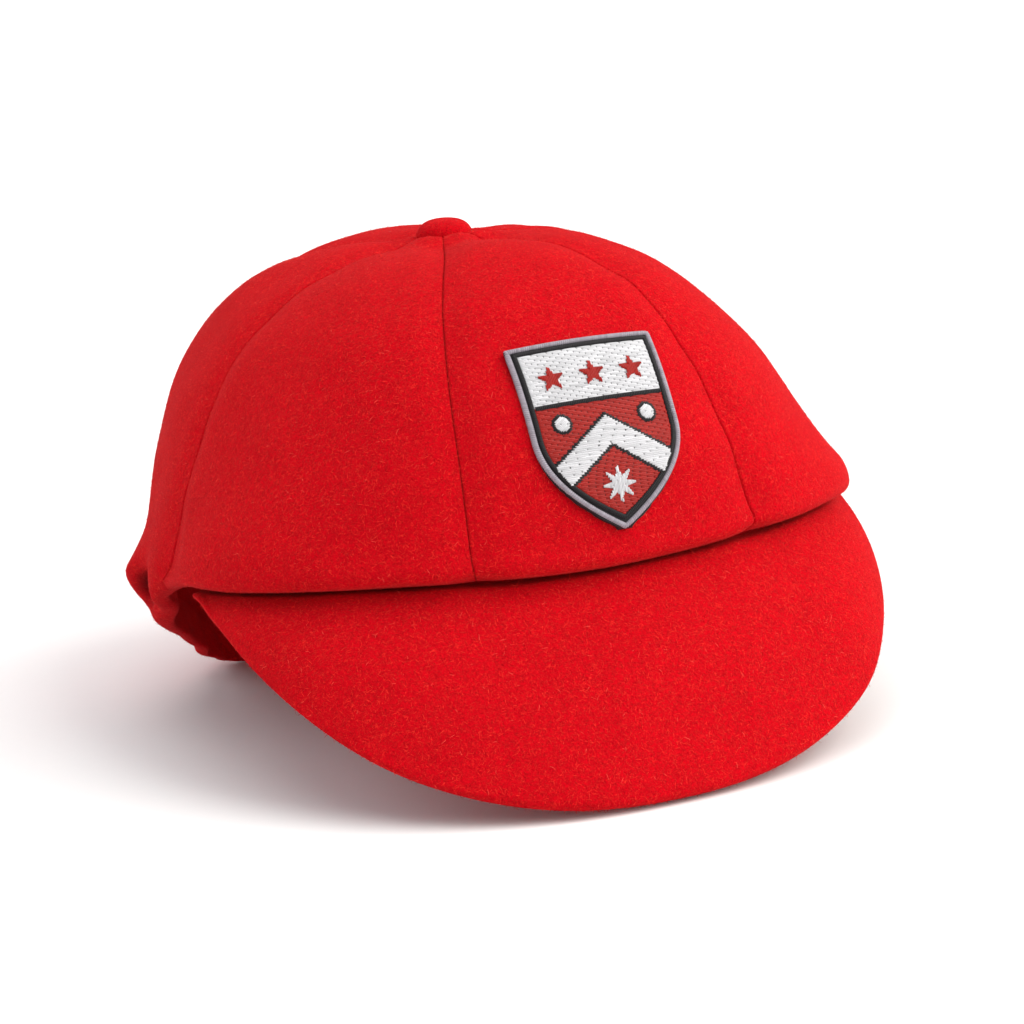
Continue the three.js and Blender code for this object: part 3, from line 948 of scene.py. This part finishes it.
# The button's outline as shares of its radius and height: the tuck at its foot, then the dome
BUTTON_TUCK = [(0.7, -0.14), (0.9, -0.1), (0.975, -0.02)]
BUTTON_DOME = {"rows": 22, "side": 0.66, "foot": 0.1, "rise": 1.05}


def button_outline():
    rise = np.linspace(0, math.pi / 2, BUTTON_DOME["rows"])[:-1]
    foot = BUTTON_DOME["foot"]
    dome = [(math.cos(t) ** BUTTON_DOME["side"], foot + (1 - foot) * math.sin(t) ** BUTTON_DOME["rise"])
            for t in rise]
    return np.array(BUTTON_TUCK + dome)


def build_button(material):
    low, high = (np.array(corner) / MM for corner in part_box("top_button"))
    centre = (low + high) / 2 + (TOP_LEAN, 0, 0)
    radius = (high[0] - low[0]) / 2
    foot = RINGS[-1]["side_z"] + BUTTON_LIFT
    height = high[2] - BUTTON_SETTLE - foot
    turn = np.linspace(0, 2 * math.pi, BUTTON_SIDES, endpoint=False)
    outline = button_outline()
    reach, level = outline[:, 0], outline[:, 1]
    pleats = bump(level, BUTTON_PLEATS["level"], BUTTON_PLEATS["spread"])[:, None]
    pleats = pleats * np.cos(turn * BUTTON_PLEATS["count"] + np.sin(turn * 3))
    out = radius * (reach[:, None] + BUTTON_PLEATS["deep"] * pleats)
    points = np.stack([
        centre[0] + out * np.sin(turn),
        centre[1] - out * np.cos(turn),
        np.broadcast_to((foot + level * height)[:, None], out.shape),
    ], -1)
    points[..., 2] += waves(points, 31) * BUTTON_SWELL
    ring = np.arange(BUTTON_SIDES)
    following = (ring + 1) % BUTTON_SIDES
    last = (len(outline) - 1) * BUTTON_SIDES
    faces = []
    for start in range(0, last, BUTTON_SIDES):
        above = start + BUTTON_SIDES
        faces += np.stack([start + ring, start + following, above + following, above + ring], -1).tolist()
    tip = points.size // 3
    faces += [[last + i, last + (i + 1) % BUTTON_SIDES, tip] for i in range(BUTTON_SIDES)]
    faces.append(list(range(BUTTON_SIDES))[::-1])
    top = np.array([[centre[0], centre[1], foot + height + BUTTON_TOP_RISE]])
    points = np.concatenate([points.reshape(-1, 3), top])
    make_piece("felt_button", points, faces, material, "top_button")


class MESH_OT_cap_button(bpy.types.Operator):
    """Builds the felt-covered button"""
    bl_idname = "mesh.cap_button"
    bl_label = "Button"

    def execute(self, context):
        build_button(felt_material("button_felt", settings().felt))
        return {"FINISHED"}


# Badge

BADGE_ANGLE = 1.5
BADGE_FOOT_Z = 56.5
BADGE_SHOULDER = 0.5
BADGE_LIFT = 0.3
BADGE_GROUND = 0.9
BADGE_BACK = -0.25
BADGE_RIM = 0.7
SHIELD_CURVE = 2.1
SHIELD_STEPS = 220

# The badge's layout: shares of its height or half width, and millimetres
FIELD_INSET = 2.2
CHIEF_UP = 0.66
CHEVRON = {"peak": 0.57, "fall": 12.5, "width": 6.4, "trim": 0.9}
STARS = {"across": 0.55, "up": 0.8, "radius": 3.4}
DISCS = {"across": 0.58, "up": 0.56, "ring": 2.4, "radius": 1.7, "sides": 20}
COMPASS = {"up": 0.225, "radius": 4.6, "points": 8, "waist": 0.4}
BAR = {"inset": 2.4, "half_thick": 0.5}

# Stitches: thread, way of the rows, their spacing as a share of the thread pitch, length
# of a stitch, height above the patch, how far it arches, and the start of its random tones
STITCHES = by_name(table(
    "name thread turn rows stitch lift arch seed",
    ("field", "red", 0.0, 1, 3.6, 0, 0.26, 3),
    ("chief", "white", 0.0, 1, 3.6, 0, 0.26, 4),
    ("trim", "black", 0.0, 1, 9, 0.16, 0.26, 5),
    ("chevron", "white", 0.0, 1, 9, 0.34, 0.3, 6),
    ("star", "red", math.pi / 2, 0.85, 9, 0.22, 0.34, 8),
    ("ring", "black", 0.6, 0.85, 9, 0.2, 0.3, 14),
    ("disc", "white", 0.6, 0.85, 9, 0.36, 0.3, 15),
    ("compass", "white", math.pi / 2, 0.85, 9, 0.22, 0.34, 9),
    ("bar", "black", math.pi / 2, 1, 9, 0.16, 0.34, 10),
))
LINE_STITCHES = by_name(table(
    "name thread inset outer inner lift arch seed pitch",
    ("outline", "black", 1.75, 0.55, 0.6, 0.12, 0.42, 12, None),
    ("edge", "edge", 0.5, 0.65, 0.65, -0.25, 0.8, 13, 0.5),
))
SHORTEST_STITCH = 0.3
STITCH_OVERLAP = 0.06
STITCH_WIDTH = {"area": 1.12, "line": 1.25}
STITCH_SLANT = 0.8
ROW_SHIFT = 0.37
ROW_END = 0.5

# One stitch: places along it, how it arches there, and its cross section
STITCH_STEPS = np.array([0, 0.08, 0.25, 0.5, 0.75, 0.92, 1.0])
STITCH_ARCH = [0.45, 0.9, 1.0, 0.9, 0.45]
STITCH_SECTION = np.array([(-0.5, 0.0), (-0.25, 0.8), (0.25, 0.8), (0.5, 0.0)])


def badge_rings():
    """Rings of the crown's middle line at even lengths above the badge's foot."""
    fine = np.linspace(1, LAST_RING, 900)
    line = crown_base(np.full_like(fine, BADGE_ANGLE), fine)
    length = path_lengths(line, 0)
    foot = np.interp(BADGE_FOOT_Z, line[:, 2], length)
    return lambda up: np.interp(foot + up, length, fine)


def badge_point(across, up, lift, rings):
    """Points over the front panel, from millimetres across and up the badge."""
    ring = rings(up)
    angle = np.full_like(ring, BADGE_ANGLE)
    span = np.linalg.norm(crown_base(angle + 0.5, ring) - crown_base(angle - 0.5, ring), axis=-1)
    return crown_point(angle + across / span, ring, BADGE_LIFT + lift)


def even_steps(outline, pitch=None, count=None):
    """Points at even steps along a closed outline."""
    closed = np.concatenate([outline, outline[:1]])
    length = path_lengths(closed, 0)
    count = count or int(length[-1] / pitch)
    even = np.linspace(0, length[-1], count, endpoint=False)
    return np.stack([np.interp(even, length, closed[:, k]) for k in (0, 1)], -1)


def shield_outline(half, height, inset=0.0):
    """A heater shield, anticlockwise from the top left corner, as even steps."""
    half, low, high = half - inset, inset * 1.5, height - inset
    shoulder = height * BADGE_SHOULDER
    fall = np.sin(np.linspace(0, 1, 60) * math.pi / 2)
    reach = half * (1 - (1 - fall) ** SHIELD_CURVE)
    side_y = low + (shoulder - low) * fall
    left = np.stack([-reach, side_y], -1)[::-1]
    right = np.stack([reach, side_y], -1)
    across = half * np.linspace(1, -1, 30)[:-1]
    top = np.stack([across, np.full_like(across, high)], -1)
    return even_steps(np.concatenate([[[-half, high]], left, right, top]), count=SHIELD_STEPS)


def star_outline(centre, radius, points=5, waist=0.42):
    corner = np.arange(2 * points)
    turn = math.pi / 2 + math.pi / points * corner
    reach = np.where(corner % 2 == 0, radius, radius * waist)
    return np.stack([centre[0] + reach * np.cos(turn), centre[1] + reach * np.sin(turn)], -1)


def chevron_outline(half, peak_up, foot_up, width):
    return np.array([
        (0, peak_up), (-half, foot_up), (-half, foot_up - width),
        (0, peak_up - width), (half, foot_up - width), (half, foot_up),
    ], float)


def clip_to(outline, field):
    """The part of a tall zigzag outline that lies between a field's sides."""
    fine = []
    for first, second in zip(outline, np.roll(outline, -1, axis=0)):
        fine.append(first + (second - first) * np.linspace(0, 1, 40, endpoint=False)[:, None])
    points = np.concatenate(fine)
    for i, (x, y) in enumerate(points):
        near = np.abs(field[:, 1] - y) < 1.0
        limit = np.abs(field[near, 0]).max() if near.any() else abs(x)
        points[i, 0] = np.clip(x, -limit, limit)
    return points


def rows_in(outline, turn, pitch):
    """Ends of the parallel rows of thread that fill an outline."""
    way = np.array([math.cos(turn), math.sin(turn)])
    aside = np.array([-way[1], way[0]])
    offsets = outline @ aside
    following = np.roll(outline, -1, axis=0)
    rows = []
    for offset in np.arange(offsets.min() + pitch / 2, offsets.max(), pitch):
        first, second = outline @ aside - offset, following @ aside - offset
        hit = (first > 0) != (second > 0)
        t = first[hit] / (first[hit] - second[hit])
        meets = np.sort((outline[hit] + (following[hit] - outline[hit]) * t[:, None]) @ way)
        pairs = zip(meets[::2], meets[1::2])
        rows += [(offset, low, high) for low, high in pairs if high - low > SHORTEST_STITCH]
    return way, aside, rows


def thread_strips(starts, ends, width, lift, height, rings, bow=0.35):
    """Arched strips of thread from starts to ends, in badge millimetres."""
    way = ends - starts
    aside = np.stack([-way[:, 1], way[:, 0]], -1)
    aside /= np.maximum(np.linalg.norm(aside, axis=1, keepdims=True), 1e-9)
    flat = (starts[:, None, None, :] + way[:, None, None, :] * STITCH_STEPS[None, :, None, None]
            + aside[:, None, None, :] * (STITCH_SECTION[:, 0] * width)[None, None, :, None])
    arch = np.array([-bow, *STITCH_ARCH, -bow])[None, :, None]
    lifts = lift + height * arch * (0.35 + 0.65 * STITCH_SECTION[:, 1])[None, None, :]
    lifts = np.broadcast_to(lifts, flat.shape[:-1])
    points = badge_point(flat[..., 0], flat[..., 1], lifts, rings)
    count, steps, cuts = points.shape[:3]
    corner = (np.arange(count)[:, None, None] * steps * cuts
              + np.arange(steps - 1)[None, :, None] * cuts + np.arange(cuts - 1)[None, None, :])
    faces = np.stack([corner, corner + cuts, corner + cuts + 1, corner + 1], -1).reshape(-1, 4)
    return points.reshape(-1, 3), faces[:, ::-1], steps * cuts


def thread_piece(name, strips, count, spread, seed, material):
    """Strips of thread become a piece, with a random tone for each stitch."""
    points, faces, size = strips
    tone = np.clip(np.random.default_rng(seed).normal(0.5, spread, count), 0, 1)
    make_piece(name, points, faces, material, shade=np.repeat(tone, size))


def stitched_area(name, outline, row, pitch, threads, rings):
    """Fills an outline with rows of stitches, each row's ends set off from the last."""
    pitch, stitch = pitch * row["rows"], row["stitch"]
    way, aside, lines = rows_in(outline, row["turn"], pitch)
    starts, ends = [], []
    for number, (offset, low, high) in enumerate(lines):
        cuts = np.arange(low - stitch * ((number * ROW_SHIFT) % 1), high, stitch)
        cuts = cuts[(cuts > low + ROW_END) & (cuts < high - ROW_END)]
        marks = np.concatenate([[low], cuts, [high]])
        for first, last in zip(marks[:-1], marks[1:]):
            starts.append(way * (first - STITCH_OVERLAP) + aside * offset)
            ends.append(way * (last + STITCH_OVERLAP) + aside * offset)
    starts, ends = np.array(starts), np.array(ends)
    width, lift = pitch * STITCH_WIDTH["area"], BADGE_GROUND + row["lift"]
    strips = thread_strips(starts, ends, width, lift, row["arch"], rings)
    thread_piece(name, strips, len(starts), 0.22, row["seed"], threads[row["thread"]])


def stitched_line(name, outline, row, pitch, threads, rings):
    """Stitches laid across a line, from outside to inside it, like an overlocked edge."""
    pitch = row["pitch"] or pitch
    line = even_steps(outline, pitch=pitch)
    ahead = np.roll(line, -3, axis=0) - np.roll(line, 3, axis=0)
    ahead /= np.linalg.norm(ahead, axis=1, keepdims=True)
    inward = np.stack([-ahead[:, 1], ahead[:, 0]], -1)
    slant = ahead * pitch * STITCH_SLANT
    starts = line - inward * row["outer"] - slant / 2
    ends = line + inward * row["inner"] + slant / 2
    width, lift = pitch * STITCH_WIDTH["line"], BADGE_GROUND + row["lift"]
    strips = thread_strips(starts, ends, width, lift, row["arch"], rings, bow=0.9)
    thread_piece(name, strips, len(line), 0.2, row["seed"], threads[row["thread"]])


def badge_ground(material, half, height, rings):
    """The woven patch under the stitches, a thin plate with a rounded rim."""
    rows = np.linspace(0, 1, 60)
    outline = shield_outline(half, height)
    widths = []
    for row in rows:
        level = np.clip(row * height, 0.4, height - 0.2)
        near = outline[np.abs(outline[:, 1] - level) < 0.8]
        widths.append(np.abs(near[:, 0]).max() if len(near) else 0.4)
    across = np.linspace(-1, 1, 49)[:, None] * np.array(widths)
    up = np.broadcast_to(rows * height, across.shape)
    to_edge = np.minimum(np.array(widths) - np.abs(across), np.minimum(up, height - up))
    rim = rounded(np.clip(to_edge, 0, None), BADGE_RIM)
    outer = badge_point(across, up, BADGE_GROUND - rim, rings)
    inner = badge_point(across, up, np.full_like(up, BADGE_BACK), rings)
    points, faces = slab(outer, inner)
    tone = np.full(len(points), 0.4)
    make_piece("badge_ground", points, faces, material, "badge", tone)


def badge_areas(half, height):
    """Each sewn area of the badge from the lowest layer up: name, kind and outline."""
    field = shield_outline(half, height, FIELD_INSET)
    chief_up = height * CHIEF_UP
    lower, upper = field.copy(), field.copy()
    lower[:, 1] = np.minimum(lower[:, 1], chief_up)
    upper[:, 1] = np.maximum(upper[:, 1], chief_up)
    peak, width, trim = height * CHEVRON["peak"], CHEVRON["width"], CHEVRON["trim"]
    foot = peak - CHEVRON["fall"]
    chevron = chevron_outline(half, peak, foot, width)
    around = chevron_outline(half, peak + trim, foot + trim, width + 2 * trim)
    yield "badge_field", "field", lower
    yield "badge_chief", "chief", upper
    yield "badge_chevron_trim", "trim", clip_to(around, field)
    yield "badge_chevron", "chevron", clip_to(chevron, field)
    for number, side in enumerate((-1, 0, 1)):
        centre = (side * half * STARS["across"], height * STARS["up"])
        yield f"badge_star_{number}", "star", star_outline(centre, STARS["radius"])
    for number, side in enumerate((-1, 1)):
        centre = (side * half * DISCS["across"], height * DISCS["up"])
        yield f"badge_ring_{number}", "ring", star_outline(centre, DISCS["ring"], DISCS["sides"], 1.0)
        yield f"badge_disc_{number}", "disc", star_outline(centre, DISCS["radius"], DISCS["sides"], 1.0)
    centre = (0, height * COMPASS["up"])
    yield "badge_compass", "compass", star_outline(
        centre, COMPASS["radius"], COMPASS["points"], COMPASS["waist"])
    ends = half - BAR["inset"]
    line = np.array([(x, chief_up) for x in np.linspace(-ends, ends, 60)])
    thick = (0, BAR["half_thick"])
    yield "badge_bar", "bar", np.concatenate([line - thick, line[::-1] + thick])


class MESH_OT_cap_badge(bpy.types.Operator):
    """Builds the embroidered shield badge, thread by thread"""
    bl_idname = "mesh.cap_badge"
    bl_label = "Badge"

    def execute(self, context):
        badge = settings().badge
        half, height, pitch = badge.half_width / MM, badge.height / MM, badge.pitch / MM
        rings = badge_rings()
        threads = {name: thread_material(f"{name}_thread", tuple(getattr(badge, name)))
                   for name in ("red", "white", "black", "edge")}
        badge_ground(threads["black"], half, height, rings)
        for name, kind, outline in badge_areas(half, height):
            stitched_area(name, outline, STITCHES[kind], pitch, threads, rings)
        for kind, row in LINE_STITCHES.items():
            outline = shield_outline(half, height, row["inset"])
            stitched_line(f"badge_{kind}", outline, row, pitch, threads, rings)
        return {"FINISHED"}


# Stage

LIGHTS = table(
    "name azimuth elevation spread power colour",
    ("key", 52, 36, 60, 2.9, (1.0, 1.0, 0.95)),
    ("right", 100, 30, 50, 0.7, (1.0, 1.0, 0.95)),
    ("rim", -120, 30, 50, 0.95, (1.0, 0.96, 1.0)),
    ("overhead", 0, 89, 60, 1.35, (1.0, 1.0, 1.0)),
)
WORLD_LIGHT = 0.34
PAPER = (0.9, 0.9, 0.9)
SENSOR_WIDTH = 36


def direction(azimuth, elevation):
    """The way to a point round the cap: azimuth 0 is straight ahead of the peak."""
    level = math.cos(elevation)
    return Vector((math.sin(azimuth) * level, -math.cos(azimuth) * level, math.sin(elevation)))


def paper_material(name, colour):
    paper = Shader(name, colour)
    grain = paper.noise(paper.place(), 3.0, 2.0)
    base = paper.mix(grain, colour, tinted(colour, 0.985))
    return paper.finish(base, 0.85, grain, 0.02, {})


class SCENE_OT_cap_stage(bpy.types.Operator):
    """Adds the pale floor, the soft lights and the camera"""
    bl_idname = "scene.cap_stage"
    bl_label = "Stage"

    def execute(self, context):
        stage = settings().stage
        scene = context.scene
        half = stage.floor_size / 2
        mesh = bpy.data.meshes.new("floor")
        corners = [(-half, -half, 0), (half, -half, 0), (half, half, 0), (-half, half, 0)]
        mesh.from_pydata(corners, [], [(0, 1, 2, 3)])
        mesh.materials.append(paper_material("floor_paper", PAPER))
        floor = bpy.data.objects.new("floor", mesh)
        scene.collection.objects.link(floor)
        aim = Vector(stage.aim)
        for row in LIGHTS:
            lamp = bpy.data.lights.new(row["name"], "SUN")
            lamp.angle = math.radians(row["spread"])
            lamp.energy = row["power"]
            lamp.color = row["colour"]
            holder = bpy.data.objects.new(row["name"], lamp)
            towards = direction(math.radians(row["azimuth"]), math.radians(row["elevation"]))
            holder.location = aim + towards
            holder.rotation_euler = (-towards).to_track_quat("-Z", "Y").to_euler()
            scene.collection.objects.link(holder)
        world = bpy.data.worlds.new("studio")
        world.use_nodes = True
        background = world.node_tree.nodes["Background"]
        background.inputs["Color"].default_value = (1, 1, 1, 1)
        background.inputs["Strength"].default_value = WORLD_LIGHT
        scene.world = world
        scene.view_settings.view_transform = "Standard"
        self.add_camera(scene, stage, aim)
        return {"FINISHED"}

    def add_camera(self, scene, stage, aim):
        a, e, roll = stage.azimuth, stage.elevation, stage.roll
        back = direction(a, e)
        right = Vector((math.cos(a), math.sin(a), 0))
        up = back.cross(right)
        turned_right = math.cos(roll) * right - math.sin(roll) * up
        turned_up = math.sin(roll) * right + math.cos(roll) * up
        data = bpy.data.cameras.new("camera")
        data.sensor_width = SENSOR_WIDTH
        data.lens = SENSOR_WIDTH * stage.distance / stage.view_width
        camera = bpy.data.objects.new("camera", data)
        camera.matrix_world = Matrix((turned_right, turned_up, back)).transposed().to_4x4()
        camera.location = aim + back * stage.distance
        scene.collection.objects.link(camera)
        scene.camera = camera


class VIEW3D_PT_cap(bpy.types.Panel):
    """Buttons and sizes of the school cap"""
    bl_idname = "VIEW3D_PT_cap"
    bl_label = "School cap"
    bl_space_type = "VIEW_3D"
    bl_region_type = "UI"
    bl_category = "School cap"

    def draw(self, context):
        cap = settings()
        for group in (cap.felt, cap.peak, cap.badge, cap.stage):
            box = self.layout.box()
            for name in group.__annotations__:
                box.prop(group, name)
        for operator in OPERATORS:
            self.layout.operator(operator.bl_idname)


OPERATORS = (
    MESH_OT_cap_crown, MESH_OT_cap_peak, MESH_OT_cap_button, MESH_OT_cap_badge, SCENE_OT_cap_stage)
GROUPS = (CapFeltSettings, CapPeakSettings, CapBadgeSettings, CapStageSettings, CapSettings)
CLASSES = GROUPS + OPERATORS + (VIEW3D_PT_cap,)


def register():
    for entry in CLASSES:
        bpy.utils.register_class(entry)
    bpy.types.Scene.school_cap = PointerProperty(type=CapSettings)


def unregister():
    del bpy.types.Scene.school_cap
    for entry in reversed(CLASSES):
        bpy.utils.unregister_class(entry)


def main():
    register()
    bpy.ops.mesh.cap_crown()
    bpy.ops.mesh.cap_peak()
    bpy.ops.mesh.cap_button()
    bpy.ops.mesh.cap_badge()
    bpy.ops.scene.cap_stage()
    bpy.context.view_layer.update()


if __name__ == "__main__":
    main()
